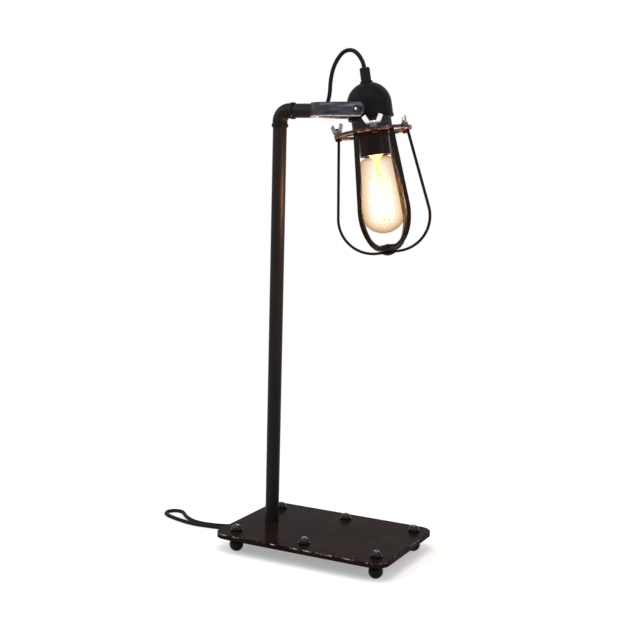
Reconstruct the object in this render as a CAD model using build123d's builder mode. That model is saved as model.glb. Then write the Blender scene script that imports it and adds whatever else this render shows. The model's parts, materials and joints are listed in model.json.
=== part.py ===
"""A desk lamp of black pipe: a plate on ball feet, a post with an elbow, a fork, and a caged bulb that tilts in it.

Frame: +Z up, the table at zero, +X along the arm towards the head, the origin at the middle of the plate.
"""

import math
import os

from build123d import *

# Fits that several pieces share.
overrun = 2.0
slip_gap = 0.05
pivot_gap = 0.08

# Base plate, its dome bolts and its ball feet.
foot_height = 19.0
plate_length = 231.1
plate_width = 160.0
plate_thickness = 6.0
plate_corner = 18.0
plate_edge_round = 1.2
bolt_inset_left = 22.1
bolt_inset_right = 19.0
bolt_inset_front = 22.8
bolt_inset_back = 22.8
bolt_rows = 3
bolt_flange_dia = 15.0
bolt_flange_height = 1.8
bolt_head_dia = 13.2
bolt_head_height = 6.4
bolt_shank_dia = 6.0
bolt_hole_gap = 0.2
bolt_grip = 6.2
base_nut_flats = 10.0
base_nut_height = 5.0
foot_ball_dia = 17.5
foot_flat_depth = 0.9
foot_neck_dia = 10.5

# Post, elbow and arm of one tube size.
tube_dia = 17.2
tube_wall = 1.5
post_inset = 40.0
arm_height = 517.0
elbow_reach = 20.0
elbow_bend = 13.0
elbow_dia = 18.4
elbow_bore = 12.0
elbow_rim_dia = 20.4
elbow_rim_width = 4.6
elbow_rim_round = 0.8
elbow_socket = 6.0
arm_reach = 46.3
insert_length = 18.0
nipple_dia = 10.0
nipple_bore = 6.6
nipple_hole_gap = 0.15
nipple_tail = 0.4
washer_dia = 20.0
washer_thickness = 1.5
nipple_nut_flats = 14.0
post_nut_height = 4.0
arm_nut_height = 2.2
bush_stem = 5.0
bush_flange_dia = 9.4
bush_flange = 0.8

# Fork of flat bar that carries the head between its arms.
fork_bar_height = 16.4
fork_bar_thickness = 3.0
fork_outer_half = 36.0
fork_pivot_reach = 120.6
fork_edge_round = 0.8
fork_end_share = 0.98

# Cap, its pivot and the cord grip on top. Heights are along the head, over the pivot.
head_tilt = 10.2
cap_dia = 53.0
cap_wall = 2.95
cap_rim_height = -9.4
cap_rim_step = 0.5
cap_rim_width = 2.6
cap_round_height = 6.9
cap_seat_height = 32.6
cap_seat_dia = 17.2
cap_inner_seat_height = 29.6
boss_dia = 13.0
pivot_washer_thickness = 1.0
pivot_washer_dia = 12.6
pivot_dia = 5.0
pivot_head_dia = 9.4
pivot_head_height = 2.8
pivot_slot_width = 1.3
pivot_slot_depth = 1.2
pivot_tip_radius = 20.5
grip_dia = 12.1
grip_height = 17.8
grip_flange_dia = 15.0
grip_flange = 1.6
grip_thread_dia = 10.0
grip_thread_length = 8.0
grip_round = 1.6
grip_nut_flats = 14.0
grip_nut_height = 4.0
grip_hole_gap = 0.1
cord_in_grip = 7.0

# Lamp holder below the cap.
collar_dia = 47.0
collar_wall = 2.0
collar_top_height = 5.3
collar_foot_height = -24.2
collar_foot_wall = 2.0
sleeve_dia = 37.0
sleeve_bore = 30.8
sleeve_end_height = -53.4
sleeve_neck_dia = 34.0
sleeve_neck_top = -16.8
sleeve_lip_round = 0.8
holder_nut_dia = 41.0
holder_nut_height = 3.0
core_flange_dia = 39.0
core_flange = 4.0
core_gap = 0.1
core_end_height = -48.4
core_floor_height = -26.0
core_top_height = -6.0
core_block_dia = 27.0
core_terminal_dia = 4.0
core_terminal_depth = 5.0
core_terminal_pitch = 17.0
shell_wall = 0.55
shell_end_height = -49.9
contact_dia = 7.0
contact_thickness = 1.6

# Bulb. Depths run down from the end of the sleeve to the tip.
bulb_dia = 52.6
bulb_depth = 91.8
bulb_neck_dia = 24.6
bulb_wall = 0.8
bulb_neck_rise = 7.0
bulb_cap_wall = 0.6
bulb_cap_slip = 0.15
bulb_cap_rim_rise = 1.5
bulb_tip_dia = 10.0
bulb_tip_height = 1.0
bulb_insulator_height = 1.9
bulb_radius_shares = (0.66, 0.785, 0.87, 0.945, 1.0, 0.84)
bulb_depth_shares = (0.035, 0.095, 0.22, 0.41, 0.69, 0.875)
stem_dia = 6.0
stem_flare_dia = 17.0
stem_flare_height = 12.0
stem_depth = 26.0
rod_dia = 2.2
hook_wire_dia = 0.6
hook_hub_dia = 4.0
hook_hub_height = 1.6
filament_wire_dia = 0.7
filament_dia = 25.0
filament_top_depth = 23.0
filament_foot_depth = 75.5
filament_bend = 0.8
filament_runs = 10

# Cage: a gallery ring clamped by the sleeve, and three crossed strips hung below it by studs and wing nuts.
ring_rim = 3.65
ring_lip = 0.25
gallery_thickness = 1.4
gallery_hub_dia = 45.5
spoke_width = 7.0
spoke_overlap = 2.0
cage_ring_thickness = 1.8
strip_width = 5.0
strip_thickness = 3.2
strip_count = 3
strip_first_angle = 25.5
strip_top_dia = 84.5
cage_bulge_radius = 42.8
cage_bulge_depth = 98.8
cage_floor_half = 12.9
rivet_dia = 3.0
rivet_head_dia = 15.0
rivet_head_height = 2.4
rivet_top_dia = 9.0
rivet_top_height = 1.2
cage_washer_dia = 16.0
cage_washer_thickness = 1.0
stud_dia = 4.0
stud_head_dia = 7.6
stud_head_height = 2.6
stud_tip = 2.4
stud_angles = (-64.0, 48.0, 193.0)
wing_turns = (25.0, -57.0, -30.0)
wing_hub_dia = 8.6
wing_hub_height = 7.0
wing_width = 5.2
wing_thickness = 1.6
wing_foot_height = 3.6
wing_rise = 11.2
wing_lean = 5.8
wing_root = 1.9

# Cords. Their routes are points kept as they were chosen, with X from the post: the loop's heights are over the
# arm, and the others' over the table.
cord_dia = 5.0
cord_gap = 0.1
cord_lift = 0.2
cord_run_share = 0.45
cord_end_share = 0.95
cord_drop_shares = (0.40, 0.60)
cord_level = cord_dia / 2 + cord_lift
head_cord_route = ((61.0, 0.0, 0.0), (67.2, 0.0, 17.0), (67.5, 0.0, 35.0), (70.8, 0.0, 50.5), (77.9, 0.0, 63.0),
                   (85.6, 0.0, 69.9), (96.4, 0.0, 70.6), (105.0, 0.0, 63.6))
head_cord_straight = 3.6
supply_route = ((-17.9, 0.5, cord_level), (-34.9, 1.5, cord_level), (-56.9, 2.0, cord_level),
                (-80.2, 1.0, cord_level), (-96.2, -1.6, cord_level), (-112.3, -3.6, cord_level),
                (-127.4, -2.2, cord_level), (-141.9, 1.4, cord_level), (-155.4, 5.6, cord_level),
                (-166.4, 9.6, cord_level), (-174.4, 15.6, cord_level), (-177.4, 24.8, cord_level),
                (-171.6, 33.8, cord_level), (-161.6, 35.0, cord_level), (-153.0, 29.0, cord_level),
                (-144.4, 19.4, cord_level), (-131.9, 10.6, cord_level), (-117.4, 4.8, cord_level),
                (-100.9, 4.8, cord_level), (-83.9, 8.0, cord_level), (-70.4, 14.2, cord_level),
                (-61.9, 25.5, cord_level), (-58.7, 41.0, 2.8), (-57.4, 57.5, 3.5), (-52.2, 73.0, 4.7),
                (-43.0, 83.6, 5.6), (-33.0, 87.0, 6.0))
lead_route = ((33.1, 87.0, 6.0), (47.1, 89.5, 5.3), (61.1, 96.0, 4.4), (73.1, 103.2, 3.7))
lead_straight = 11.0

# Coil of the length put away, with its tie, and the plug at its end.
coil_reach = 101.1
coil_y = 71.0
coil_lift = 0.9
coil_layer_step = 5.5
coil_turn_step = 6.5
coil_outer_radius = 37.4
coil_half_turns = 7
tie_gap = 0.25
tie_side_gap = 0.7
tie_thickness = 0.6
tie_width = 6.0
tie_corner = 2.4
plug_width = 35.3
plug_thickness = 16.6
plug_length = 37.0
plug_back_width = 17.0
plug_waist_width = 26.0
plug_waist_share = 0.38
plug_shoulder_share = 0.60
plug_round = 3.0
plug_relief_length = 26.0
plug_relief_dia = 11.6
plug_relief_tip_dia = 7.6
plug_rib_width = 2.0
plug_rib_pitch = 4.6
plug_ribs = 4
plug_rib_depth = 0.9
pin_dia = 4.0
pin_length = 19.0
pin_pitch = 18.6
pin_seat = 12.0
pin_round = 1.2

# Switch on the cord: two shells and a rocker.
switch_reach = -0.9
switch_y = 87.0
switch_length = 58.0
switch_width = 24.0
switch_height = 15.0
switch_split = 7.0
switch_corner = 9.0
switch_edge_round = 2.0
switch_wall = 2.0
switch_cord_level = 6.0
switch_anchor = 9.0
rocker_length = 19.0
rocker_width = 9.0
rocker_gap = 0.8
rocker_depth = 3.0
rocker_proud = 0.4
rocker_tilt = 7.0
rocker_foot_share = 0.85
axle_dia = 3.0
axle_drop = 2.8
axle_end = 1.6

# Places that follow from the sizes.
plate_top = foot_height + plate_thickness
bolt_pitch_long = (plate_length - bolt_inset_left - bolt_inset_right) / (bolt_rows - 1)
bolt_pitch_wide = plate_width - bolt_inset_front - bolt_inset_back
plate_x = (bolt_inset_right - bolt_inset_left) / 2
plate_y = (bolt_inset_back - bolt_inset_front) / 2
post_x = plate_x - plate_length / 2 + post_inset
arm_level = plate_top + arm_height
elbow_end = post_x + elbow_reach
fork_back = post_x + arm_reach
fork_centre = fork_back + fork_outer_half
fork_inner_half = fork_outer_half - fork_bar_thickness
pivot_x = post_x + fork_pivot_reach
tube_bore = tube_dia - 2 * tube_wall
cord_bore = cord_dia + 2 * cord_gap
nipple_hole = nipple_dia + 2 * nipple_hole_gap
lean = math.radians(head_tilt)
head_up = Vector(-math.sin(lean), 0, math.cos(lean))
head_right = Vector(math.cos(lean), 0, math.sin(lean))
pivot = Vector(pivot_x, 0, arm_level)
head_level = Plane(origin=pivot, x_dir=head_right, z_dir=head_up)
head_section = Plane(origin=pivot, x_dir=head_right, z_dir=(0, -1, 0))
head_axis = Axis(pivot, head_up)
table_level = Plane.XY
plate_face = table_level.offset(plate_top)
plate_under = table_level.offset(foot_height)

os.makedirs("parts", exist_ok=True)


def save(piece, name):
    piece.label = name
    export_step(piece, f"parts/{name}.step")


def tube(plane, outer, inner, length):
    """A straight tube that stands on a plane."""
    with BuildPart() as made:
        with BuildSketch(plane):
            Circle(outer / 2)
            Circle(inner / 2, mode=Mode.SUBTRACT)
        extrude(amount=length)
    return made.part


def hex_nut(plane, flats, bore, height):
    """A hexagon nut that stands on a plane."""
    with BuildPart() as made:
        with BuildSketch(plane):
            RegularPolygon(flats / 2, 6, major_radius=False)
            Circle(bore / 2, mode=Mode.SUBTRACT)
        extrude(amount=height)
    return made.part


def end_bush(plane):
    """A cord bush: its flange stands on the plane and its stem goes on into the nipple."""
    with BuildPart() as made:
        with BuildSketch(plane):
            Circle(bush_flange_dia / 2)
        extrude(amount=bush_flange)
        with BuildSketch(plane.offset(bush_flange)):
            Circle(nipple_bore / 2 - slip_gap)
        extrude(amount=bush_stem)
        with BuildSketch(plane):
            Circle(cord_bore / 2)
        extrude(amount=bush_flange + bush_stem + overrun, mode=Mode.SUBTRACT)
    return made.part


def turned(points, section=head_section, axis=head_axis):
    """A solid turned from a straight-sided profile of (radius, height) points."""
    with BuildPart() as made:
        with BuildSketch(section):
            with BuildLine():
                Polyline(*points, close=True)
            make_face()
        revolve(axis=axis)
    return made.part


def cord_tube(points, name):
    """A cord along straight runs and tangent arcs, each arc as large as its two runs allow."""
    stops = [Vector(*point) for point in points]
    runs = [b - a for a, b in zip(stops, stops[1:])]
    room = [cord_run_share * run.length for run in runs]
    room[0] = cord_end_share * runs[0].length
    room[-1] = cord_end_share * runs[-1].length
    radii = []
    for corner in range(len(runs) - 1):
        half_turn = math.radians(runs[corner].get_angle(runs[corner + 1])) / 2
        radii.append(min(room[corner], room[corner + 1]) / math.tan(half_turn))
    with BuildPart() as made:
        with BuildLine() as route:
            FilletPolyline(*stops, radius=radii)
        with BuildSketch(Plane(origin=stops[0], z_dir=runs[0])):
            Circle(cord_dia / 2)
        sweep(path=route.wires()[0])
    length = route.wires()[0].length
    share = made.part.volume / (length * math.pi * cord_dia ** 2 / 4)
    print(f"{name}: {length:.1f} mm long, volume over section times length {share:.4f}")
    print("  radii", [round(radius, 1) for radius in radii])
    return made.part


# Base plate with its bolt holes and the hole for the post's nipple.
with BuildPart() as base_plate:
    with BuildSketch(plate_under):
        with Locations((plate_x, plate_y)):
            RectangleRounded(plate_length, plate_width, plate_corner)
    extrude(amount=plate_thickness)
    fillet(base_plate.faces().sort_by(Axis.Z)[-1].edges(), plate_edge_round)
    with BuildSketch(plate_under):
        with GridLocations(bolt_pitch_long, bolt_pitch_wide, bolt_rows, 2):
            Circle(bolt_shank_dia / 2 + bolt_hole_gap)
        with Locations((post_x, 0)):
            Circle(nipple_hole / 2)
    extrude(amount=plate_thickness, mode=Mode.SUBTRACT)
save(base_plate.part, "base_plate")

# One bolt with a dome on a flange, then six of them.
dome_radius = (bolt_head_height ** 2 + (bolt_head_dia / 2) ** 2) / (2 * bolt_head_height)
bolt_top = bolt_flange_height + bolt_head_height
bolt_end = -plate_thickness - bolt_grip
with BuildPart() as dome_bolt:
    with BuildSketch(Plane.XZ):
        with BuildLine():
            RadiusArc((0, bolt_top), (bolt_head_dia / 2, bolt_flange_height), dome_radius)
            Polyline((bolt_head_dia / 2, bolt_flange_height), (bolt_flange_dia / 2, bolt_flange_height),
                     (bolt_flange_dia / 2, 0), (bolt_shank_dia / 2, 0))
            Line((bolt_shank_dia / 2, 0), (bolt_shank_dia / 2, bolt_end))
            Line((bolt_shank_dia / 2, bolt_end), (0, bolt_end))
            Line((0, bolt_end), (0, bolt_top))
        make_face()
    revolve(axis=Axis.Z)
with BuildPart() as base_bolts:
    with Locations(plate_face):
        with GridLocations(bolt_pitch_long, bolt_pitch_wide, bolt_rows, 2):
            add(dome_bolt.part)
save(base_bolts.part, "base_bolts")

# Ball feet screwed on the corner bolts, and nuts on the bolts between.
ball_centre = foot_ball_dia / 2 - foot_flat_depth
with BuildPart() as ball_foot:
    with Locations((0, 0, ball_centre)):
        Sphere(foot_ball_dia / 2)
    with BuildSketch(table_level.offset(ball_centre)):
        Circle(foot_neck_dia / 2)
    extrude(amount=foot_height - ball_centre)
    split(bisect_by=table_level, keep=Keep.TOP)
    with BuildSketch(plate_under):
        Circle(bolt_shank_dia / 2 + slip_gap)
    extrude(amount=-bolt_grip - slip_gap, mode=Mode.SUBTRACT)
with BuildPart() as ball_feet:
    with GridLocations((bolt_rows - 1) * bolt_pitch_long, bolt_pitch_wide, 2, 2):
        add(ball_foot.part)
save(ball_feet.part, "ball_feet")

base_nut = hex_nut(plate_under.offset(-base_nut_height), base_nut_flats, bolt_shank_dia + 2 * slip_gap,
                   base_nut_height)
with BuildPart() as base_nuts:
    with GridLocations(bolt_pitch_long, bolt_pitch_wide, 1, 2):
        add(base_nut)
save(base_nuts.part, "base_nuts")

# Post: a tube that stands on the plate, drawn down by a hollow nipple and a nut.
post_foot = Plane(origin=(post_x, 0, plate_top))
post_length = arm_height - elbow_reach + elbow_socket
save(tube(post_foot, tube_dia, tube_bore, post_length), "post_tube")
save(tube(post_foot, tube_bore - 2 * slip_gap, nipple_dia + 2 * slip_gap, insert_length), "post_insert")
nipple_drop = plate_thickness + washer_thickness + post_nut_height + nipple_tail
nipple_foot = post_foot.offset(-nipple_drop)
save(tube(nipple_foot, nipple_dia, nipple_bore, nipple_drop + insert_length), "post_nipple")
washer_foot = post_foot.offset(-plate_thickness - washer_thickness)
save(tube(washer_foot, washer_dia, nipple_hole, washer_thickness), "post_washer")
save(hex_nut(washer_foot.offset(-post_nut_height), nipple_nut_flats, nipple_dia + 2 * slip_gap, post_nut_height),
     "post_nut")
save(end_bush(nipple_foot.offset(-bush_flange)), "post_bush")
cord_exit_level = plate_top - nipple_drop - bush_flange

# Elbow with a beaded rim on each end and a socket for each tube.
elbow_low = Plane(origin=(post_x, 0, arm_level - elbow_reach))
elbow_out = Plane(origin=(elbow_end, 0, arm_level), z_dir=(-1, 0, 0))
with BuildPart() as elbow:
    with BuildLine() as elbow_route:
        FilletPolyline(elbow_low.origin, (post_x, 0, arm_level), elbow_out.origin, radius=elbow_bend)
    with BuildSketch(elbow_low):
        Circle(elbow_dia / 2)
    sweep(path=elbow_route.wires()[0])
    with BuildSketch(elbow_low, elbow_out):
        Circle(elbow_rim_dia / 2)
    extrude(amount=elbow_rim_width)
    fillet(elbow.edges().filter_by(GeomType.CIRCLE).filter_by(lambda e: e.radius > elbow_dia / 2), elbow_rim_round)
    with BuildSketch(elbow_low):
        Circle(elbow_bore / 2)
    sweep(path=elbow_route.wires()[0], mode=Mode.SUBTRACT)
    with BuildSketch(elbow_low, elbow_out):
        Circle(tube_dia / 2 + slip_gap)
    extrude(amount=elbow_socket, mode=Mode.SUBTRACT)
save(elbow.part, "elbow")

# Arm: a short tube with its own insert, nipple, nut and cord bush at the fork.
arm_start = elbow_end - elbow_socket
arm_foot = Plane(origin=(arm_start, 0, arm_level), z_dir=(1, 0, 0))
arm_end = Plane(origin=(fork_back, 0, arm_level), z_dir=(-1, 0, 0))
nut_corner = nipple_nut_flats / math.sqrt(3) + slip_gap
arm_nut_lift = fork_inner_half - math.sqrt(fork_inner_half ** 2 - nut_corner ** 2)
arm_nipple_drop = fork_bar_thickness + arm_nut_lift + arm_nut_height + nipple_tail
with BuildPart() as arm_tube:
    with BuildSketch(arm_foot):
        Circle(tube_dia / 2)
        Circle(tube_bore / 2, mode=Mode.SUBTRACT)
    extrude(amount=fork_back + overrun - arm_start)
    with BuildSketch(table_level.offset(arm_level - tube_dia)):
        with Locations((fork_centre, 0)):
            Circle(fork_outer_half + slip_gap)
    extrude(amount=2 * tube_dia, mode=Mode.SUBTRACT)
save(arm_tube.part, "arm_tube")
save(tube(arm_end, tube_bore - 2 * slip_gap, nipple_dia + 2 * slip_gap, insert_length), "arm_insert")
arm_nipple_foot = arm_end.offset(-arm_nipple_drop)
save(tube(arm_nipple_foot, nipple_dia, nipple_bore, arm_nipple_drop + insert_length), "arm_nipple")
arm_nut_foot = arm_end.offset(-fork_bar_thickness - arm_nut_lift - arm_nut_height)
save(hex_nut(arm_nut_foot, nipple_nut_flats, nipple_dia + 2 * slip_gap, arm_nut_height), "arm_nut")
save(end_bush(arm_nipple_foot.offset(-bush_flange)), "arm_bush")
cord_exit_x = fork_back + arm_nipple_drop + bush_flange

# Fork: flat bar bent round to two level arms with rounded ends.
fork_foot = table_level.offset(arm_level - fork_bar_height / 2)
fork_tip = pivot_x + fork_bar_height / 2
with BuildPart() as fork:
    with BuildSketch(fork_foot):
        with BuildLine():
            Line((fork_tip, -fork_outer_half), (fork_centre, -fork_outer_half))
            ThreePointArc((fork_centre, -fork_outer_half), (fork_back, 0), (fork_centre, fork_outer_half))
            Line((fork_centre, fork_outer_half), (fork_tip, fork_outer_half))
            Line((fork_tip, fork_outer_half), (fork_tip, fork_inner_half))
            Line((fork_tip, fork_inner_half), (fork_centre, fork_inner_half))
            ThreePointArc((fork_centre, fork_inner_half), (fork_back + fork_bar_thickness, 0),
                          (fork_centre, -fork_inner_half))
            Line((fork_centre, -fork_inner_half), (fork_tip, -fork_inner_half))
            Line((fork_tip, -fork_inner_half), (fork_tip, -fork_outer_half))
        make_face()
    extrude(amount=fork_bar_height)
    fillet(fork.edges().filter_by(Axis.Y).group_by(Axis.X)[-1], fork_end_share * fork_bar_height / 2)
    with BuildSketch(Plane(origin=pivot, z_dir=(0, 1, 0))):
        Circle(pivot_dia / 2 + pivot_gap)
    extrude(amount=fork_outer_half + overrun, both=True, mode=Mode.SUBTRACT)
    with BuildSketch(arm_end):
        Circle(nipple_hole / 2)
    extrude(amount=-fork_bar_thickness - overrun, mode=Mode.SUBTRACT)
    with BuildSketch(arm_end):
        Circle(nipple_hole / 2)
    extrude(amount=overrun, mode=Mode.SUBTRACT)
save(fork.part, "fork")

# Cap: a cast dome with a beaded rim, two side bosses for the pivot and a seat for the cord grip.
cap_radius = cap_dia / 2
cap_bore_radius = cap_radius - cap_wall
boss_face = fork_inner_half - pivot_washer_thickness
rim_radius = cap_radius + cap_rim_step
rim_top = cap_rim_height + cap_rim_width
with BuildPart() as cap:
    with BuildSketch(head_section):
        with BuildLine():
            Line((0, cap_rim_height), (rim_radius, cap_rim_height))
            Line((rim_radius, cap_rim_height), (rim_radius, rim_top))
            Line((rim_radius, rim_top), (cap_radius, rim_top))
            Line((cap_radius, rim_top), (cap_radius, cap_round_height))
            RadiusArc((cap_radius, cap_round_height), (0, cap_round_height + cap_radius), -cap_radius)
            Line((0, cap_round_height + cap_radius), (0, cap_rim_height))
        make_face()
    revolve(axis=head_axis)
    with BuildSketch(Plane(origin=pivot, z_dir=(0, 1, 0))):
        Circle(boss_dia / 2)
    extrude(amount=boss_face, both=True)
    with BuildSketch(head_section):
        with BuildLine():
            Line((0, cap_rim_height), (cap_bore_radius, cap_rim_height))
            Line((cap_bore_radius, cap_rim_height), (cap_bore_radius, cap_round_height))
            RadiusArc((cap_bore_radius, cap_round_height), (0, cap_round_height + cap_bore_radius), -cap_bore_radius)
            Line((0, cap_round_height + cap_bore_radius), (0, cap_rim_height))
        make_face()
    revolve(axis=head_axis, mode=Mode.SUBTRACT)
    with BuildSketch(head_level.offset(cap_seat_height)):
        Circle(cap_seat_dia / 2)
    extrude(amount=cap_radius, mode=Mode.SUBTRACT)
    with BuildSketch(head_level.offset(cap_inner_seat_height)):
        Circle(cap_seat_dia / 2)
    extrude(amount=-grip_nut_height, mode=Mode.SUBTRACT)
    with BuildSketch(head_level.offset(cap_round_height)):
        Circle(grip_thread_dia / 2 + grip_hole_gap)
    extrude(amount=cap_radius + overrun, mode=Mode.SUBTRACT)
    with BuildSketch(Plane(origin=pivot, z_dir=(0, 1, 0))):
        Circle(pivot_dia / 2 + slip_gap)
    extrude(amount=boss_face + overrun, both=True, mode=Mode.SUBTRACT)
save(cap.part, "cap")

# Pivot: a slotted screw and a fibre washer at each arm of the fork.
pivot_head_face = fork_outer_half + pivot_head_height
with BuildPart() as pivot_screws:
    for side in (1, -1):
        outward = Plane(origin=pivot, x_dir=head_right, z_dir=(0, side, 0))
        with BuildSketch(outward.offset(pivot_tip_radius)):
            Circle(pivot_dia / 2)
        extrude(amount=fork_outer_half - pivot_tip_radius)
        with BuildSketch(outward.offset(fork_outer_half)):
            Circle(pivot_head_dia / 2)
        extrude(amount=pivot_head_height)
        with BuildSketch(outward.offset(pivot_head_face)):
            Rectangle(pivot_head_dia + overrun, pivot_slot_width)
        extrude(amount=-pivot_slot_depth, mode=Mode.SUBTRACT)
save(pivot_screws.part, "pivot_screws")

with BuildPart() as pivot_washers:
    for side in (1, -1):
        with BuildSketch(Plane(origin=pivot, z_dir=(0, side, 0)).offset(boss_face)):
            Circle(pivot_washer_dia / 2)
            Circle(pivot_dia / 2 + slip_gap, mode=Mode.SUBTRACT)
        extrude(amount=pivot_washer_thickness)
save(pivot_washers.part, "pivot_washers")

# Cord grip on top of the cap, with its nut inside.
grip_top = cap_seat_height + grip_height
grip_foot = cap_seat_height - grip_thread_length
with BuildPart() as cord_grip:
    with BuildSketch(head_level.offset(grip_foot)):
        Circle(grip_thread_dia / 2)
    extrude(amount=grip_thread_length)
    with BuildSketch(head_level.offset(cap_seat_height)):
        Circle(grip_dia / 2)
    extrude(amount=grip_height)
    fillet(cord_grip.faces().sort_by(head_axis)[-1].edges(), grip_round)
    with BuildSketch(head_level.offset(cap_seat_height)):
        Circle(grip_flange_dia / 2)
    extrude(amount=grip_flange)
    with BuildSketch(head_level.offset(grip_foot)):
        Circle(cord_bore / 2)
    extrude(amount=grip_thread_length + grip_height, mode=Mode.SUBTRACT)
save(cord_grip.part, "cord_grip")
save(hex_nut(head_level.offset(cap_inner_seat_height - grip_nut_height), grip_nut_flats,
             grip_thread_dia + 2 * slip_gap, grip_nut_height), "grip_nut")

# Lamp holder: the collar inside the cap, the sleeve that screws up into it, its ring nut and the ceramic core.
collar_radius = collar_dia / 2
collar_bore_radius = collar_radius - collar_wall
neck_radius = sleeve_neck_dia / 2
with BuildPart() as holder_collar:
    add(turned((
        (neck_radius + slip_gap, collar_foot_height),
        (collar_radius, collar_foot_height),
        (collar_radius, collar_top_height),
        (collar_bore_radius, collar_top_height),
        (collar_bore_radius, collar_foot_height + collar_foot_wall),
        (neck_radius + slip_gap, collar_foot_height + collar_foot_wall))))
    with BuildSketch(Plane(origin=pivot, z_dir=(0, 1, 0))):
        Circle(pivot_dia / 2 + slip_gap)
    extrude(amount=collar_radius + overrun, both=True, mode=Mode.SUBTRACT)
save(holder_collar.part, "holder_collar")

gallery_foot = collar_foot_height - gallery_thickness
with BuildPart() as holder_sleeve:
    with BuildSketch(head_level.offset(sleeve_end_height)):
        Circle(sleeve_dia / 2)
    extrude(amount=gallery_foot - sleeve_end_height)
    fillet(holder_sleeve.edges(), sleeve_lip_round)
    with BuildSketch(head_level.offset(gallery_foot)):
        Circle(neck_radius)
    extrude(amount=sleeve_neck_top - gallery_foot)
    with BuildSketch(head_level.offset(sleeve_end_height)):
        Circle(sleeve_bore / 2)
    extrude(amount=sleeve_neck_top - sleeve_end_height, mode=Mode.SUBTRACT)
save(holder_sleeve.part, "holder_sleeve")
save(tube(head_level.offset(collar_foot_height + collar_foot_wall), holder_nut_dia, sleeve_neck_dia + 2 * slip_gap,
          holder_nut_height), "holder_nut")

core_radius = sleeve_bore / 2 - core_gap
bulb_cap_radius = bulb_neck_dia / 2 + bulb_cap_slip + bulb_cap_wall
shell_bore_radius = bulb_cap_radius + 2 * bulb_cap_slip
shell_radius = shell_bore_radius + shell_wall
with BuildPart() as holder_core:
    add(turned((
        (0, core_top_height),
        (core_block_dia / 2, core_top_height),
        (core_block_dia / 2, sleeve_neck_top + core_flange),
        (core_flange_dia / 2, sleeve_neck_top + core_flange),
        (core_flange_dia / 2, sleeve_neck_top),
        (core_radius, sleeve_neck_top),
        (core_radius, core_end_height),
        (shell_radius + slip_gap, core_end_height),
        (shell_radius + slip_gap, core_floor_height),
        (0, core_floor_height))))
    with BuildSketch(head_level.offset(core_top_height)):
        with GridLocations(core_terminal_pitch, 0, 2, 1):
            Circle(core_terminal_dia / 2)
    extrude(amount=-core_terminal_depth, mode=Mode.SUBTRACT)
save(holder_core.part, "holder_core")
save(tube(head_level.offset(shell_end_height), 2 * shell_radius, 2 * shell_bore_radius,
          core_floor_height - shell_end_height), "thread_shell")
with BuildPart() as centre_contact:
    with BuildSketch(head_level.offset(core_floor_height)):
        Circle(contact_dia / 2)
    extrude(amount=-contact_thickness)
save(centre_contact.part, "centre_contact")

# Bulb: blown glass, screw cap, insulator and contact.
bulb_radius = bulb_dia / 2
neck_bulb_radius = bulb_neck_dia / 2


def bulb_skin(inset):
    """The blown outline, from the neck's foot to the tip, drawn in by the glass."""
    foot = (neck_bulb_radius - inset, sleeve_end_height)
    swell = [(r * bulb_radius - inset, sleeve_end_height - d * bulb_depth)
             for r, d in zip(bulb_radius_shares, bulb_depth_shares)]
    tip = (0, sleeve_end_height - bulb_depth + inset)
    return [foot, *swell, tip]


with BuildPart() as bulb_glass:
    with BuildSketch(head_section):
        with BuildLine():
            outer = bulb_skin(0)
            inner = bulb_skin(bulb_wall)
            neck_top = sleeve_end_height + bulb_neck_rise
            Spline(*outer, tangents=((0, -1), (-1, 0)), tangent_scalars=(1, 1))
            Line(outer[-1], inner[-1])
            Spline(*inner, tangents=((0, -1), (-1, 0)), tangent_scalars=(1, 1))
            Line(inner[0], (inner[0][0], neck_top))
            Line((inner[0][0], neck_top), (outer[0][0], neck_top))
            Line((outer[0][0], neck_top), outer[0])
        make_face()
    revolve(axis=head_axis)
save(bulb_glass.part, "bulb_glass")

bulb_rim = sleeve_end_height + bulb_cap_rim_rise
bulb_contact_foot = core_floor_height - contact_thickness - bulb_tip_height
bulb_shell_top = bulb_contact_foot - bulb_insulator_height
save(tube(head_level.offset(bulb_rim), 2 * bulb_cap_radius, 2 * (bulb_cap_radius - bulb_cap_wall),
          bulb_shell_top - bulb_rim), "bulb_cap")
save(turned((
    (0, bulb_contact_foot),
    (bulb_tip_dia / 2, bulb_contact_foot),
    (bulb_cap_radius, bulb_shell_top),
    (0, bulb_shell_top))), "bulb_insulator")
with BuildPart() as bulb_contact:
    with BuildSketch(head_level.offset(bulb_contact_foot)):
        Circle(bulb_tip_dia / 2)
    extrude(amount=bulb_tip_height)
save(bulb_contact.part, "bulb_contact")

# Inside the bulb: the stem with its rod, two stars of hooks and the filament laced between them.
stem_top = sleeve_end_height + bulb_neck_rise
stem_end = sleeve_end_height - stem_depth
upper_star = sleeve_end_height - filament_top_depth
lower_star = sleeve_end_height - filament_foot_depth
rod_end = lower_star - hook_hub_height
save(turned((
    (0, stem_top),
    (neck_bulb_radius - bulb_wall - slip_gap, stem_top),
    (stem_flare_dia / 2, stem_top - stem_flare_height / 2),
    (stem_dia / 2, stem_top - stem_flare_height),
    (stem_dia / 2, upper_star + hook_hub_height / 2),
    (rod_dia / 2, upper_star + hook_hub_height / 2),
    (rod_dia / 2, rod_end),
    (0, rod_end))), "bulb_stem")
filament_radius = filament_dia / 2
lace = [(filament_radius, 360 * k / filament_runs, upper_star if k % 2 else lower_star)
        for k in range(filament_runs)]


def on_head(radius, angle, height):
    turn = math.radians(angle)
    return head_level.from_local_coords((radius * math.cos(turn), radius * math.sin(turn), height))


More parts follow.
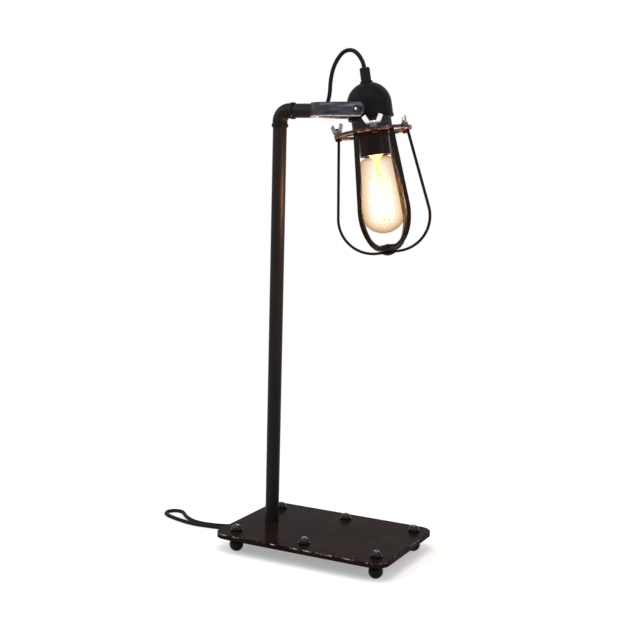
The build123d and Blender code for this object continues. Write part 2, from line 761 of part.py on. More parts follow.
def hook_star(height, angles):
    """A hub on the rod with a wire out to each corner of the filament."""
    with BuildPart() as made:
        with BuildSketch(head_level.offset(height - hook_hub_height / 2)):
            Circle(hook_hub_dia / 2)
            Circle(rod_dia / 2 + slip_gap, mode=Mode.SUBTRACT)
        extrude(amount=hook_hub_height)
        for angle in angles:
            start = on_head(rod_dia / 2 + slip_gap + hook_wire_dia / 2, angle, height)
            end = on_head(filament_radius - filament_wire_dia / 2 - filament_bend / 2, angle, height)
            with BuildSketch(Plane(origin=start, z_dir=end - start)):
                Circle(hook_wire_dia / 2)
            extrude(amount=(end - start).length)
    return made.part


save(hook_star(upper_star, [angle for _, angle, height in lace if height == upper_star]), "upper_hooks")
save(hook_star(lower_star, [angle for _, angle, height in lace if height == lower_star]), "lower_hooks")
lace_points = [on_head(*corner) for corner in lace]
with BuildPart() as filament:
    with BuildLine() as lace_route:
        FilletPolyline(*lace_points, radius=filament_bend)
    with BuildSketch(Plane(origin=lace_points[0], z_dir=lace_points[1] - lace_points[0])):
        Circle(filament_wire_dia / 2)
    sweep(path=lace_route.wires()[0])
save(filament.part, "filament")

# Cage gallery: a ring on three spokes, clamped between the collar and the sleeve.
stud_radius = strip_top_dia / 2
ring_radius = stud_radius + ring_rim
ring_bore_radius = stud_radius - strip_thickness - ring_lip
spoke_start = gallery_hub_dia / 2 - spoke_overlap
spoke_length = ring_bore_radius + spoke_overlap - spoke_start
with BuildPart() as cage_gallery:
    with BuildSketch(head_level.offset(gallery_foot)):
        Circle(ring_radius)
        Circle(ring_bore_radius, mode=Mode.SUBTRACT)
        Circle(gallery_hub_dia / 2)
        for angle in stud_angles:
            with PolarLocations(spoke_start + spoke_length / 2, 1, start_angle=angle):
                Rectangle(spoke_length, spoke_width)
            with PolarLocations(stud_radius, 1, start_angle=angle):
                Circle(stud_dia / 2 + slip_gap, mode=Mode.SUBTRACT)
        Circle(neck_radius + slip_gap, mode=Mode.SUBTRACT)
    extrude(amount=gallery_thickness)
save(cage_gallery.part, "cage_gallery")

cage_ring_foot = gallery_foot - cage_ring_thickness
with BuildPart() as cage_ring:
    with BuildSketch(head_level.offset(cage_ring_foot)):
        Circle(ring_radius)
        Circle(ring_bore_radius, mode=Mode.SUBTRACT)
        for angle in stud_angles:
            with PolarLocations(stud_radius, 1, start_angle=angle):
                Circle(stud_dia / 2 + slip_gap, mode=Mode.SUBTRACT)
    extrude(amount=cage_ring_thickness)
save(cage_ring.part, "cage_ring")


def strip_outline(inset, layer):
    """Half of a strip's outline: straight out from the ring, round the bulge and in to the flat floor."""
    top = (strip_top_dia / 2, cage_ring_foot)
    centre = (cage_floor_half, cage_ring_foot - cage_bulge_depth + layer * strip_thickness)
    across = top[0] - centre[0]
    rise = top[1] - centre[1]
    slope = math.atan2(rise, across) - math.acos(cage_bulge_radius / math.hypot(across, rise))
    radius = cage_bulge_radius - inset
    corner = (slope - math.pi / 2) / 2

    def on_bulge(turn):
        return (centre[0] + radius * math.cos(turn), centre[1] + radius * math.sin(turn))

    return (top[0] - inset / math.cos(slope), top[1]), on_bulge(slope), on_bulge(corner), on_bulge(-math.pi / 2)


for layer in range(strip_count):
    turn = math.radians(strip_first_angle + 180 * layer / strip_count)
    along = head_right * math.cos(turn) + Vector(0, 1, 0) * math.sin(turn)
    with BuildPart() as strip:
        with BuildSketch(Plane(origin=pivot, x_dir=along, z_dir=along.cross(head_up))):
            for inset, mode in ((0, Mode.ADD), (strip_thickness, Mode.SUBTRACT)):
                top, shoulder, bend, floor = strip_outline(inset, layer)
                with BuildLine():
                    Line(top, shoulder)
                    ThreePointArc(shoulder, bend, floor)
                    Line(floor, (0, floor[1]))
                    mirror(about=Plane.YZ)
                    Line((-top[0], top[1]), top)
                make_face(mode=mode)
        extrude(amount=strip_width / 2, both=True)
        with BuildSketch(head_level.offset(cage_ring_foot - cage_bulge_depth)):
            Circle(rivet_dia / 2 + slip_gap)
        extrude(amount=-cage_bulge_radius - overrun, mode=Mode.SUBTRACT)
    save(strip.part, f"cage_strip_{layer + 1}")

# Rivet through the crossed strips, with a washer on the inside.
cage_floor = cage_ring_foot - cage_bulge_depth - cage_bulge_radius
stack_top = cage_floor + strip_count * strip_thickness
washer_top = stack_top + cage_washer_thickness
save(tube(head_level.offset(stack_top), cage_washer_dia, rivet_dia + 2 * slip_gap, cage_washer_thickness),
     "cage_washer")
rivet_curve = (rivet_head_height ** 2 + (rivet_head_dia / 2) ** 2) / (2 * rivet_head_height)
with BuildPart() as cage_rivet:
    with BuildSketch(head_section):
        with BuildLine():
            RadiusArc((0, cage_floor - rivet_head_height), (rivet_head_dia / 2, cage_floor), -rivet_curve)
            Line((rivet_head_dia / 2, cage_floor), (rivet_dia / 2, cage_floor))
            Line((rivet_dia / 2, cage_floor), (rivet_dia / 2, washer_top))
            Line((rivet_dia / 2, washer_top), (rivet_top_dia / 2, washer_top))
            Line((rivet_top_dia / 2, washer_top), (0, washer_top + rivet_top_height))
            Line((0, washer_top + rivet_top_height), (0, cage_floor - rivet_head_height))
        make_face()
    revolve(axis=head_axis)
save(cage_rivet.part, "cage_rivet")

# Studs up through both rings, and a wing nut on each.
stud_top = collar_foot_height + wing_hub_height + stud_tip
with BuildPart() as cage_studs:
    for angle in stud_angles:
        with BuildSketch(head_level.offset(cage_ring_foot - stud_head_height)):
            with PolarLocations(stud_radius, 1, start_angle=angle):
                Circle(stud_head_dia / 2)
        extrude(amount=stud_head_height)
        with BuildSketch(head_level.offset(cage_ring_foot)):
            with PolarLocations(stud_radius, 1, start_angle=angle):
                Circle(stud_dia / 2)
        extrude(amount=stud_top - cage_ring_foot)
save(cage_studs.part, "cage_studs")

wing_edge = math.hypot(wing_lean, wing_rise)
wing_top = wing_foot_height + wing_rise
wing_shoulder = wing_top - wing_width * wing_lean / wing_edge
wing_reach = wing_root + wing_lean + wing_width * wing_rise / wing_edge
wing_heel = wing_reach - (wing_shoulder - wing_foot_height) * wing_lean / wing_rise
for number, (angle, turn) in enumerate(zip(stud_angles, wing_turns), start=1):
    spin = math.radians(turn)
    spread_dir = head_right * math.cos(spin) + Vector(0, 1, 0) * math.sin(spin)
    seat = on_head(stud_radius, angle, collar_foot_height)
    wing_level = Plane(origin=seat, x_dir=spread_dir, z_dir=head_up)
    with BuildPart() as wing_nut:
        with BuildSketch(wing_level):
            Circle(wing_hub_dia / 2)
        extrude(amount=wing_hub_height)
        with BuildSketch(Plane(origin=seat, x_dir=spread_dir, z_dir=spread_dir.cross(head_up))):
            for hand in (1, -1):
                with BuildLine():
                    Polyline((hand * wing_root, wing_foot_height),
                             (hand * (wing_root + wing_lean), wing_top),
                             (hand * wing_reach, wing_shoulder),
                             (hand * wing_heel, wing_foot_height), close=True)
                make_face()
        extrude(amount=wing_thickness / 2, both=True)
        with BuildSketch(wing_level):
            Circle(stud_dia / 2 + pivot_gap)
        extrude(amount=wing_top + overrun, mode=Mode.SUBTRACT)
    save(wing_nut.part, f"wing_nut_{number}")

# Cord inside the post and the arm, then the loop over to the grip and the lead down to the core.
cord_section = math.pi * cord_dia ** 2 / 4
with BuildPart() as inner_cord:
    with BuildLine() as inner_route:
        FilletPolyline((post_x, 0, cord_exit_level), (post_x, 0, arm_level), (cord_exit_x, 0, arm_level),
                       radius=elbow_bend)
    with BuildSketch(Plane(origin=(post_x, 0, cord_exit_level))):
        Circle(cord_dia / 2)
    sweep(path=inner_route.wires()[0])
save(inner_cord.part, "inner_cord")
cord_end_height = grip_top - cord_in_grip
loop_points = [(cord_exit_x, 0, arm_level),
               *((post_x + x, y, arm_level + z) for x, y, z in head_cord_route),
               tuple(on_head(0, 0, grip_top + head_cord_straight)), tuple(on_head(0, 0, cord_end_height))]
save(cord_tube(loop_points, "head_cord"), "head_cord")
with BuildPart() as holder_lead:
    with BuildSketch(head_level.offset(core_top_height)):
        Circle(cord_dia / 2)
    extrude(amount=cord_end_height - core_top_height)
save(holder_lead.part, "holder_lead")

# Supply cord: down out of the post's bush, off along the table and round behind the plate to the switch.
cord_drop = cord_exit_level - cord_level
switch_x = post_x + switch_reach
switch_left = switch_x - switch_length / 2
switch_right = switch_x + switch_length / 2
supply_points = [(post_x, 0, cord_exit_level),
                 (post_x, 0, cord_exit_level - cord_drop_shares[0] * cord_drop),
                 (post_x - cord_drop_shares[1] * cord_drop, 0, cord_level),
                 *((post_x + x, y, z) for x, y, z in supply_route),
                 (switch_left + switch_anchor, switch_y, switch_cord_level)]
save(cord_tube(supply_points, "supply_cord"), "supply_cord")

# Switch on the cord: a lower and an upper shell with the rocker's slot and the channel of the cord.
switch_foot = Plane(origin=(switch_x, switch_y, cord_lift))
switch_axis = Plane(origin=(switch_left - overrun, switch_y, switch_cord_level), z_dir=(1, 0, 0))
slot_length = rocker_length + 2 * rocker_gap
slot_width = rocker_width + 2 * rocker_gap
axle_level = switch_height - axle_drop
axle_reach = slot_width / 2 + axle_end
with BuildPart() as switch_base:
    with BuildSketch(switch_foot):
        RectangleRounded(switch_length, switch_width, switch_corner)
    extrude(amount=switch_split - cord_lift)
    fillet(switch_base.faces().sort_by(Axis.Z)[0].edges(), switch_edge_round)
    with BuildSketch(switch_foot.offset(switch_wall)):
        Rectangle(slot_length, slot_width)
    extrude(amount=switch_height, mode=Mode.SUBTRACT)
    with BuildSketch(switch_axis):
        Circle(cord_bore / 2)
    extrude(amount=switch_length + 2 * overrun, mode=Mode.SUBTRACT)
save(switch_base.part, "switch_base")

with BuildPart() as switch_cover:
    with BuildSketch(Plane(origin=(switch_x, switch_y, switch_split))):
        RectangleRounded(switch_length, switch_width, switch_corner)
    extrude(amount=switch_height - switch_split)
    fillet(switch_cover.faces().sort_by(Axis.Z)[-1].edges(), switch_edge_round)
    with BuildSketch(Plane(origin=(switch_x, switch_y, switch_split))):
        Rectangle(slot_length, slot_width)
    extrude(amount=switch_height, mode=Mode.SUBTRACT)
    with BuildSketch(switch_axis):
        Circle(cord_bore / 2)
    extrude(amount=switch_length + 2 * overrun, mode=Mode.SUBTRACT)
    with BuildSketch(Plane(origin=(switch_x, switch_y, axle_level), z_dir=(0, 1, 0))):
        Circle(axle_dia / 2 + pivot_gap)
    extrude(amount=axle_reach + pivot_gap, both=True, mode=Mode.SUBTRACT)
save(switch_cover.part, "switch_cover")

# Rocker: two faces in a shallow V, so that the half that is pressed lies level.
press = math.radians(rocker_tilt)
half_rocker = rocker_length / 2
rocker_middle = axle_drop + rocker_proud
rocker_end = rocker_middle + half_rocker * math.tan(press)
rocker_section = Plane(origin=(switch_x, switch_y, axle_level), x_dir=(math.cos(press), 0, math.sin(press)),
                       z_dir=(0, -1, 0))
with BuildPart() as rocker:
    with BuildSketch(rocker_section):
        with BuildLine():
            Polyline((-half_rocker, rocker_end), (0, rocker_middle), (half_rocker, rocker_end),
                     (rocker_foot_share * half_rocker, -rocker_depth),
                     (-rocker_foot_share * half_rocker, -rocker_depth), close=True)
        make_face()
    extrude(amount=rocker_width / 2, both=True)
    with BuildSketch(rocker_section):
        Circle(axle_dia / 2)
    extrude(amount=axle_reach, both=True)
save(rocker.part, "switch_rocker")

# Lead from the switch to the coil.
coil_x = post_x + coil_reach
coil_low = cord_dia / 2 + coil_lift
coil_top = coil_y + coil_outer_radius
lead_points = [(switch_right - switch_anchor, switch_y, switch_cord_level),
               *((post_x + x, y, z) for x, y, z in lead_route),
               (coil_x - cord_dia - lead_straight, coil_top, coil_low), (coil_x - cord_dia, coil_top, coil_low)]
save(cord_tube(lead_points, "cord_lead"), "cord_lead")


def biarc(start, start_dir, end, end_dir):
    """Two arcs that join two points along given directions."""
    span = end - start
    both = start_dir + end_dir
    spread = 2 - 2 * start_dir.dot(end_dir)
    along = span.dot(both)
    reach = (math.sqrt(along ** 2 + spread * span.dot(span)) - along) / spread
    first = start + start_dir * reach
    second = end - end_dir * reach
    middle = (first + second) * 0.5
    TangentArc(start, middle, tangent=start_dir)
    TangentArc(middle, end, tangent=second - first)


# Coil: in along the table, up a layer in the half turn where the spiral reverses, and out on top.
half_step = coil_turn_step / 2
coil_high = coil_low + coil_layer_step
turns_in = [(coil_outer_radius - k * half_step, coil_low) for k in range(coil_half_turns + 1)]
turns_out = [(turns_in[-1][0] + k * half_step, coil_high) for k in range(coil_half_turns)]
coil_stops = []
for count, (radius, level) in enumerate(turns_in + turns_out):
    hand = 1 if count % 2 == 0 else -1
    coil_stops.append((Vector(coil_x, coil_y + hand * radius, level), Vector(hand, 0, 0)))
plug_x = coil_x + coil_outer_radius + cord_dia
coil_stops.append((Vector(plug_x, coil_y, coil_high), Vector(0, -1, 0)))
coil_start = Vector(coil_x - cord_dia, coil_top, coil_low)
relief_start = Vector(plug_x, coil_y - cord_dia, coil_high)
with BuildPart() as cord_coil:
    with BuildLine() as coil_route:
        Line(coil_start, coil_stops[0][0])
        for (start, start_dir), (end, end_dir) in zip(coil_stops, coil_stops[1:]):
            biarc(start, start_dir, end, end_dir)
        Line(coil_stops[-1][0], relief_start)
    with BuildSketch(Plane(origin=coil_start, z_dir=(1, 0, 0))):
        Circle(cord_dia / 2)
    sweep(path=coil_route.wires()[0])
save(cord_coil.part, "cord_coil")

coil_wire = coil_route.wires()[0]
samples = 700
beads = [coil_wire.position_at(k / samples) for k in range(samples + 1)]
skip = math.ceil(math.pi * coil_outer_radius / (coil_wire.length / samples) / 2)
nearest = min((beads[a] - beads[b]).length for a in range(samples + 1) for b in range(a + skip, samples + 1))
coil_share = cord_coil.part.volume / (coil_wire.length * cord_section)
print(f"coil: {coil_wire.length:.1f} mm long, least gap to itself {nearest - cord_dia:.2f} mm")
print(f"  volume over section times length {coil_share:.4f}")

# Tie round all turns on the coil's left side.
tie_inner = turns_in[-1][0] - cord_dia / 2 - tie_side_gap
tie_outer = coil_outer_radius - half_step + cord_dia / 2 + tie_side_gap
tie_height = coil_layer_step + cord_dia + 2 * tie_gap
with BuildPart() as cord_tie:
    with BuildSketch(Plane(origin=(coil_x - (tie_inner + tie_outer) / 2, coil_y, (coil_low + coil_high) / 2),
                           x_dir=(1, 0, 0), z_dir=(0, 1, 0))):
        RectangleRounded(tie_outer - tie_inner + 2 * tie_thickness, tie_height + 2 * tie_thickness,
                         tie_corner + tie_thickness)
        RectangleRounded(tie_outer - tie_inner, tie_height, tie_corner, mode=Mode.SUBTRACT)
    extrude(amount=tie_width / 2, both=True)
save(cord_tie.part, "cord_tie")

# Plug: a ribbed relief, a flat body and two round pins.
relief_section = Plane(origin=relief_start, x_dir=(1, 0, 0), z_dir=(0, 0, -1))
relief_axis = Axis(relief_start, (0, -1, 0))
relief_taper = (plug_relief_dia - plug_relief_tip_dia) / 2 / plug_relief_length
relief_points = [(0, 0), (plug_relief_tip_dia / 2, 0)]
for rib in range(plug_ribs):
    near = (rib + 1) * plug_rib_pitch - plug_rib_width
    far = (rib + 1) * plug_rib_pitch
    near_radius = plug_relief_tip_dia / 2 + relief_taper * near
    far_radius = plug_relief_tip_dia / 2 + relief_taper * far
    relief_points += [(near_radius, near), (near_radius - plug_rib_depth, near),
                      (far_radius - plug_rib_depth, far), (far_radius, far)]
relief_points += [(plug_relief_dia / 2, plug_relief_length), (0, plug_relief_length)]
save(turned(relief_points, relief_section, relief_axis), "plug_relief")

plug_back = relief_start + Vector(0, -plug_relief_length, 0)
plug_face = plug_back + Vector(0, -plug_length, 0)
pin_plane = Plane(origin=plug_face, x_dir=(1, 0, 0), z_dir=(0, -1, 0))
waist = plug_waist_share * plug_length
shoulder = plug_shoulder_share * plug_length
with BuildPart() as plug_body:
    with BuildSketch(Plane(origin=plug_back, x_dir=(1, 0, 0), z_dir=(0, 0, -1))):
        with BuildLine():
            Polyline((-plug_back_width / 2, 0), (plug_back_width / 2, 0), (plug_waist_width / 2, waist),
                     (plug_width / 2, shoulder), (plug_width / 2, plug_length), (-plug_width / 2, plug_length),
                     (-plug_width / 2, shoulder), (-plug_waist_width / 2, waist), close=True)
        make_face()
    extrude(amount=plug_thickness / 2, both=True)
    fillet(plug_body.edges().filter_by(Axis.Y, reverse=True).group_by(Axis.Y)[0].filter_by(Axis.Z), plug_round)
    with BuildSketch(pin_plane):
        with GridLocations(pin_pitch, 0, 2, 1):
            Circle(pin_dia / 2 + slip_gap)
    extrude(amount=-pin_seat, mode=Mode.SUBTRACT)
save(plug_body.part, "plug_body")

with BuildPart() as plug_pins:
    with BuildSketch(pin_plane.offset(-pin_seat)):
        with GridLocations(pin_pitch, 0, 2, 1):
            Circle(pin_dia / 2)
    extrude(amount=pin_seat + pin_length)
    fillet(plug_pins.edges().group_by(Axis.Y)[0], pin_round)
save(plug_pins.part, "plug_pins")
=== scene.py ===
"""Looks of a pipe table lamp with a caged bulb.

Camera and cords come first, then the finishes, the bulb and the studio.
"""

import json
import math

import bmesh
import bpy
from mathutils import Matrix, Vector

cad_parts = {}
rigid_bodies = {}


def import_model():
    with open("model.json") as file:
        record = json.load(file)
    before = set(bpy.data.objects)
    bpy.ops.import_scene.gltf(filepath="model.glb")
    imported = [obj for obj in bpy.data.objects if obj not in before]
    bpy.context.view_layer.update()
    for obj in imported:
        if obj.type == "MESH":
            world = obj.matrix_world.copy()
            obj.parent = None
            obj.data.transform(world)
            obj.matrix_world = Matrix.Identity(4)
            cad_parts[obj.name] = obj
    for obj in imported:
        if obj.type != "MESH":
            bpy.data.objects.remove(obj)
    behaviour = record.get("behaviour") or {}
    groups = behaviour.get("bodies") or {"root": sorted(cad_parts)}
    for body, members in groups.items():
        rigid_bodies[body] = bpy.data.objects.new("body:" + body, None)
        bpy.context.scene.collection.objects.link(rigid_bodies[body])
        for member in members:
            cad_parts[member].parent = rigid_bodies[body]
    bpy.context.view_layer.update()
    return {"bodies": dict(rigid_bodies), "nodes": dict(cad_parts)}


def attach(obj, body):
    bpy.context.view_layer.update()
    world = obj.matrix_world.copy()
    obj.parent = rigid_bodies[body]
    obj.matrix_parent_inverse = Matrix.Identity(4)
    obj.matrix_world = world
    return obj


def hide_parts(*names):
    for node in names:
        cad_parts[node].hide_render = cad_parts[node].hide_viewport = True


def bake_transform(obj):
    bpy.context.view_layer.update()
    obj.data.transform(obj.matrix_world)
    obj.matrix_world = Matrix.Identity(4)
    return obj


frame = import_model()
nodes = frame["nodes"]
scene = bpy.context.scene
scene.view_settings.view_transform = "Standard"

# A millimetre in Blender's metres.
MM = 0.001

# Head of the lamp: its pivot and the directions across and up along it.
HEAD_TILT = math.radians(10.2)
PIVOT = Vector((0.0435, 0.0, 0.542))
HEAD_RIGHT = Vector((math.cos(HEAD_TILT), 0.0, math.sin(HEAD_TILT)))
HEAD_UP = Vector((-math.sin(HEAD_TILT), 0.0, math.cos(HEAD_TILT)))

# Places on the head's axis, in millimetres up from the pivot.
CORD_ENTRY = 54.0
CORD_SEAT = 43.4
FILAMENT_MIDDLE = -108.0

# Levels and edges that the finishes follow. The wing nuts' seat is measured along the head from the pivot.
PLATE_TOP = 0.025
PLATE_FRONT = -0.080
BOLT_TOP = 0.0332
FORK_HALF_HEIGHT = 0.0082
FORK_FOOT = PIVOT.z - FORK_HALF_HEIGHT
# Along X, the painted shade on the fork's end at the arm fades out between these two.
ARM_SHADE_START, ARM_SHADE_END = -0.024, 0.012
WING_SEAT = -0.0242


def up_head(up):
    """A point on the head's axis, in millimetres up from the pivot."""
    return PIVOT + HEAD_UP * up * MM


# Camera at the photograph's place.
camera_data = bpy.data.cameras.new("camera")
camera_data.sensor_width = 36.0
camera_data.lens = 64.28
camera = bpy.data.objects.new("camera", camera_data)
scene.collection.objects.link(camera)
view_right = Vector((0.89000, 0.45526, 0.02513))
view_up = Vector((-0.08079, 0.10320, 0.99137))
view_back = Vector((0.44874, -0.88436, 0.12863))
camera.matrix_world = Matrix((view_right, view_up, view_back)).transposed().to_4x4()
camera.matrix_world.translation = (0.61309, -1.23859, 0.46939)
scene.camera = camera

# Cords. Routes are in millimetres.
CORD_DIA = 5.0
POST_X = -77.1
ARM_LEVEL = 542.0

# A bevel of one, which each knot's radius scales down to the cord's own.
BEVEL = 1.0


def cord_curve(name, points):
    """One smooth open spline with control points in millimetres, still without its bevel."""
    data = bpy.data.curves.new(name, "CURVE")
    data.dimensions = "3D"
    data.resolution_u = 8
    spline = data.splines.new("NURBS")
    spline.points.add(len(points) - 1)
    for knot, (x, y, z) in zip(spline.points, points):
        knot.co = (x * MM, y * MM, z * MM, 1.0)
        knot.radius = CORD_DIA / 2 * MM
    spline.order_u = 3
    spline.use_endpoint_u = True
    data.bevel_resolution = 3
    data.use_fill_caps = True
    made = bpy.data.objects.new(name, data)
    scene.collection.objects.link(made)
    return made


def mesh_of(curve):
    """A new mesh of a curve as it stands."""
    bpy.context.view_layer.update()
    return bpy.data.meshes.new_from_object(curve.evaluated_get(bpy.context.evaluated_depsgraph_get()))


def spline_points(curve):
    """The points that a curve with no bevel runs through."""
    line = mesh_of(curve)
    places = [vertex.co.copy() for vertex in line.vertices]
    bpy.data.meshes.remove(line)
    return places


def route_length(places):
    """The length of a line from point to point."""
    return sum((b - a).length for a, b in zip(places, places[1:]))


# Supply cord: out to the left, back beside itself, and behind the plate to the switch and the coil.
supply_from_post = [
    (0.0, 0.0, 12.3), (0.0, 0.0, 8.46), (-5.76, 0.0, 2.7), (-17.9, 0.5, 2.7), (-34.9, 1.5, 2.7),
    (-56.9, 2.0, 2.7), (-80.2, 1.0, 2.7), (-96.2, -1.6, 2.7), (-112.3, -3.6, 2.7), (-127.4, -2.2, 2.7),
    (-141.9, 1.4, 2.7), (-155.4, 5.6, 2.7), (-166.4, 9.6, 2.7), (-174.4, 15.6, 2.7), (-177.4, 24.8, 2.7),
    (-171.6, 33.8, 2.7), (-161.6, 35.0, 2.7), (-153.0, 29.0, 2.7), (-144.4, 19.4, 2.7), (-131.9, 10.6, 2.7),
    (-117.4, 4.8, 2.7), (-100.9, 4.8, 2.7), (-83.9, 8.0, 2.7), (-70.4, 14.2, 2.7), (-61.9, 25.5, 2.7),
    (-58.7, 41.0, 2.8), (-57.4, 57.5, 3.5), (-52.2, 73.0, 4.7), (-43.0, 83.6, 5.6), (-33.0, 87.0, 6.0),
    (-20.9, 87.0, 6.0), (-0.9, 87.0, 6.0), (19.1, 87.0, 6.0), (33.1, 87.0, 6.0), (47.1, 89.5, 5.3),
    (61.1, 96.0, 4.4), (73.1, 103.2, 3.7), (85.1, 108.4, 3.4), (96.1, 108.4, 3.4)]
supply_route = [(POST_X + x, y, z) for x, y, z in supply_from_post]
COIL_X, COIL_Y = 24.0, 71.0
COIL_LOW, COIL_HIGH = 3.4, 8.9
COIL_OUTER, COIL_STEP = 37.4, 6.5
HALF_TURNS = 7
POINTS_PER_HALF = 9
PLUG_X = COIL_X + COIL_OUTER + CORD_DIA


def coil_points():
    """Control points of the turns, in along the table, up a layer and out on top, and the last radius."""
    inward = [COIL_OUTER - k * COIL_STEP / 2 for k in range(HALF_TURNS + 1)]
    radii = inward + [inward[-1] + k * COIL_STEP / 2 for k in range(HALF_TURNS)]
    widen = 1 / math.cos(math.pi / 2 / POINTS_PER_HALF)
    made = []
    for half, (start, end) in enumerate(zip(radii, radii[1:])):
        hand = 1 if half % 2 == 0 else -1
        middle = COIL_Y + hand * (start - end) / 2
        reach = (start + end) / 2 * widen
        for step in range(POINTS_PER_HALF):
            part = (step + 0.5) / POINTS_PER_HALF
            turn = math.pi / 2 - math.pi * part
            level = COIL_LOW if half < HALF_TURNS else COIL_HIGH
            if half == HALF_TURNS:
                level = COIL_LOW + part * part * (3 - 2 * part) * (COIL_HIGH - COIL_LOW)
            made.append((COIL_X + hand * reach * math.cos(turn), middle + hand * reach * math.sin(turn), level))
    return made, radii[-1]


turns, last_radius = coil_points()
coil_back = COIL_Y + last_radius
to_plug = [(COIL_X + 7.0, coil_back + 0.4), (COIL_X + 21.0, coil_back - 4.4), (COIL_X + 34.0, coil_back - 15.0),
           (PLUG_X - 0.8, COIL_Y + 9.0), (PLUG_X, COIL_Y), (PLUG_X, COIL_Y - CORD_DIA)]
way_out = [(x, y, COIL_HIGH) for x, y in to_plug]
supply_line = cord_curve("supply_line", supply_route + turns + way_out)
supply_length = route_length(spline_points(supply_line))
supply_line.data.bevel_depth = BEVEL
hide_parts("supply_cord", "cord_lead", "cord_coil")
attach(supply_line, "stand")

# Loop of cord from the arm over to the grip on the head. It bends from a little left of the pivot to the grip.
loop_from_post = [(53.7, 0.0), (61.0, 0.0), (67.2, 17.0), (67.5, 35.0), (70.8, 50.5), (77.9, 63.0),
                  (85.6, 69.9), (96.4, 70.6), (105.0, 63.6)]
loop_route = [(POST_X + x, 0.0, ARM_LEVEL + z) for x, z in loop_from_post]
loop_route += [tuple(up_head(up) / MM) for up in (CORD_ENTRY, CORD_SEAT)]
loop_line = cord_curve("loop_line", loop_route)
loop_path = spline_points(loop_line)
loop_line.data.bevel_depth = BEVEL
head_loop = bpy.data.objects.new("head_loop", mesh_of(loop_line))
scene.collection.objects.link(head_loop)
bpy.data.objects.remove(loop_line)
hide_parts("head_cord")
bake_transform(head_loop)

# Finishes. Each is a node tree on Object coordinates. Nearly all of a noise lies between these two values.
NOISE_LOW, NOISE_HIGH = 0.3, 0.7


class Finish:
    """A new material with short ways to add and join its nodes."""

    def __init__(self, name):
        self.material = bpy.data.materials.new(name)
        self.material.use_nodes = True
        self.tree = self.material.node_tree
        self.shader = self.tree.nodes["Principled BSDF"]
        self.place = self.node("ShaderNodeTexCoord").outputs["Object"]

    def node(self, kind):
        return self.tree.nodes.new(kind)

    def link(self, output, socket):
        self.tree.links.new(output, socket)

    def set(self, **values):
        """Sets inputs of the shader, with an underscore for each space in an input's name."""
        for name, value in values.items():
            self.shader.inputs[name.replace("_", " ")].default_value = value

    def join(self, output, name):
        """Joins an output to an input of the shader."""
        self.link(output, self.shader.inputs[name])

    def stretched(self, scale, turn=(0, 0, 0)):
        """Object coordinates turned and stretched."""
        mapping = self.node("ShaderNodeMapping")
        mapping.inputs["Rotation"].default_value = turn
        mapping.inputs["Scale"].default_value = scale
        self.link(self.place, mapping.inputs["Vector"])
        return mapping.outputs["Vector"]

    def noise(self, scale, detail=4.0, rough=0.55, place=None):
        made = self.node("ShaderNodeTexNoise")
        made.inputs["Scale"].default_value = scale
        made.inputs["Detail"].default_value = detail
        made.inputs["Roughness"].default_value = rough
        self.link(place or self.place, made.inputs["Vector"])
        return made.outputs["Fac"]

    def axis(self, name):
        """One of the object's coordinates."""
        made = self.node("ShaderNodeSeparateXYZ")
        self.link(self.place, made.inputs["Vector"])
        return made.outputs[name]

    def along(self, direction, start):
        """The distance from a start point along a direction."""
        made = self.node("ShaderNodeVectorMath")
        made.operation = "DOT_PRODUCT"
        made.inputs[1].default_value = direction
        self.link(self.place, made.inputs[0])
        return self.math("SUBTRACT", made.outputs["Value"], start.dot(direction))

    def band(self, direction, start, middle, half):
        """One in the middle of a band across a direction, falling to nothing at its edges."""
        off = self.math("ABSOLUTE", self.math("SUBTRACT", self.along(direction, start), middle), 0.0)
        return self.span(off, half * 0.5, half, 1.0, 0.0)

    def ramp(self, source, *stops):
        """A colour ramp of (place, colour) stops."""
        made = self.node("ShaderNodeValToRGB")
        elements = made.color_ramp.elements
        while len(elements) < len(stops):
            elements.new(1.0)
        for element, (where, colour) in zip(elements, stops):
            element.position = where
            element.color = (*colour, 1.0)
        self.link(source, made.inputs["Fac"])
        return made.outputs["Color"]

    def span(self, source, low, high, to_low, to_high):
        """A value moved from one range to another, held at its ends."""
        made = self.node("ShaderNodeMapRange")
        for name, value in zip(("From Min", "From Max", "To Min", "To Max"), (low, high, to_low, to_high)):
            made.inputs[name].default_value = value
        self.link(source, made.inputs["Value"])
        return made.outputs["Result"]

    def mix(self, amount, first, second):
        """A mix of two colours, each an output or three numbers."""
        made = self.node("ShaderNodeMix")
        made.data_type = "RGBA"
        self.link(amount, made.inputs["Factor"])
        for socket, value in zip([s for s in made.inputs if s.type == "RGBA"], (first, second)):
            if isinstance(value, tuple):
                socket.default_value = (*value, 1.0)
            else:
                self.link(value, socket)
        return [s for s in made.outputs if s.type == "RGBA"][0]

    def math(self, kind, first, second):
        """A sum on two values, each an output or a number."""
        made = self.node("ShaderNodeMath")
        made.operation = kind
        for socket, value in zip(made.inputs, (first, second)):
            if isinstance(value, (int, float)):
                socket.default_value = value
            else:
                self.link(value, socket)
        return made.outputs["Value"]

    def times(self, first, second):
        return self.math("MULTIPLY", first, second)

    def colour(self, source, *stops):
        """Base colour from a ramp."""
        self.join(self.ramp(source, *stops), "Base Color")

    def roughness(self, noise, at_low, at_high):
        """Roughness that follows a noise."""
        self.join(self.span(noise, NOISE_LOW, NOISE_HIGH, at_low, at_high), "Roughness")

    def bump(self, height, strength, distance):
        made = self.node("ShaderNodeBump")
        made.inputs["Strength"].default_value = strength
        made.inputs["Distance"].default_value = distance
        self.link(height, made.inputs["Height"])
        self.join(made.outputs["Normal"], "Normal")

    def surface(self, amount, first, second):
        """Ends the tree with a mix of two shaders."""
        made = self.node("ShaderNodeMixShader")
        self.link(amount, made.inputs["Fac"])
        self.link(first, made.inputs[1])
        self.link(second, made.inputs[2])
        self.link(made.outputs["Shader"], self.tree.nodes["Material Output"].inputs["Surface"])


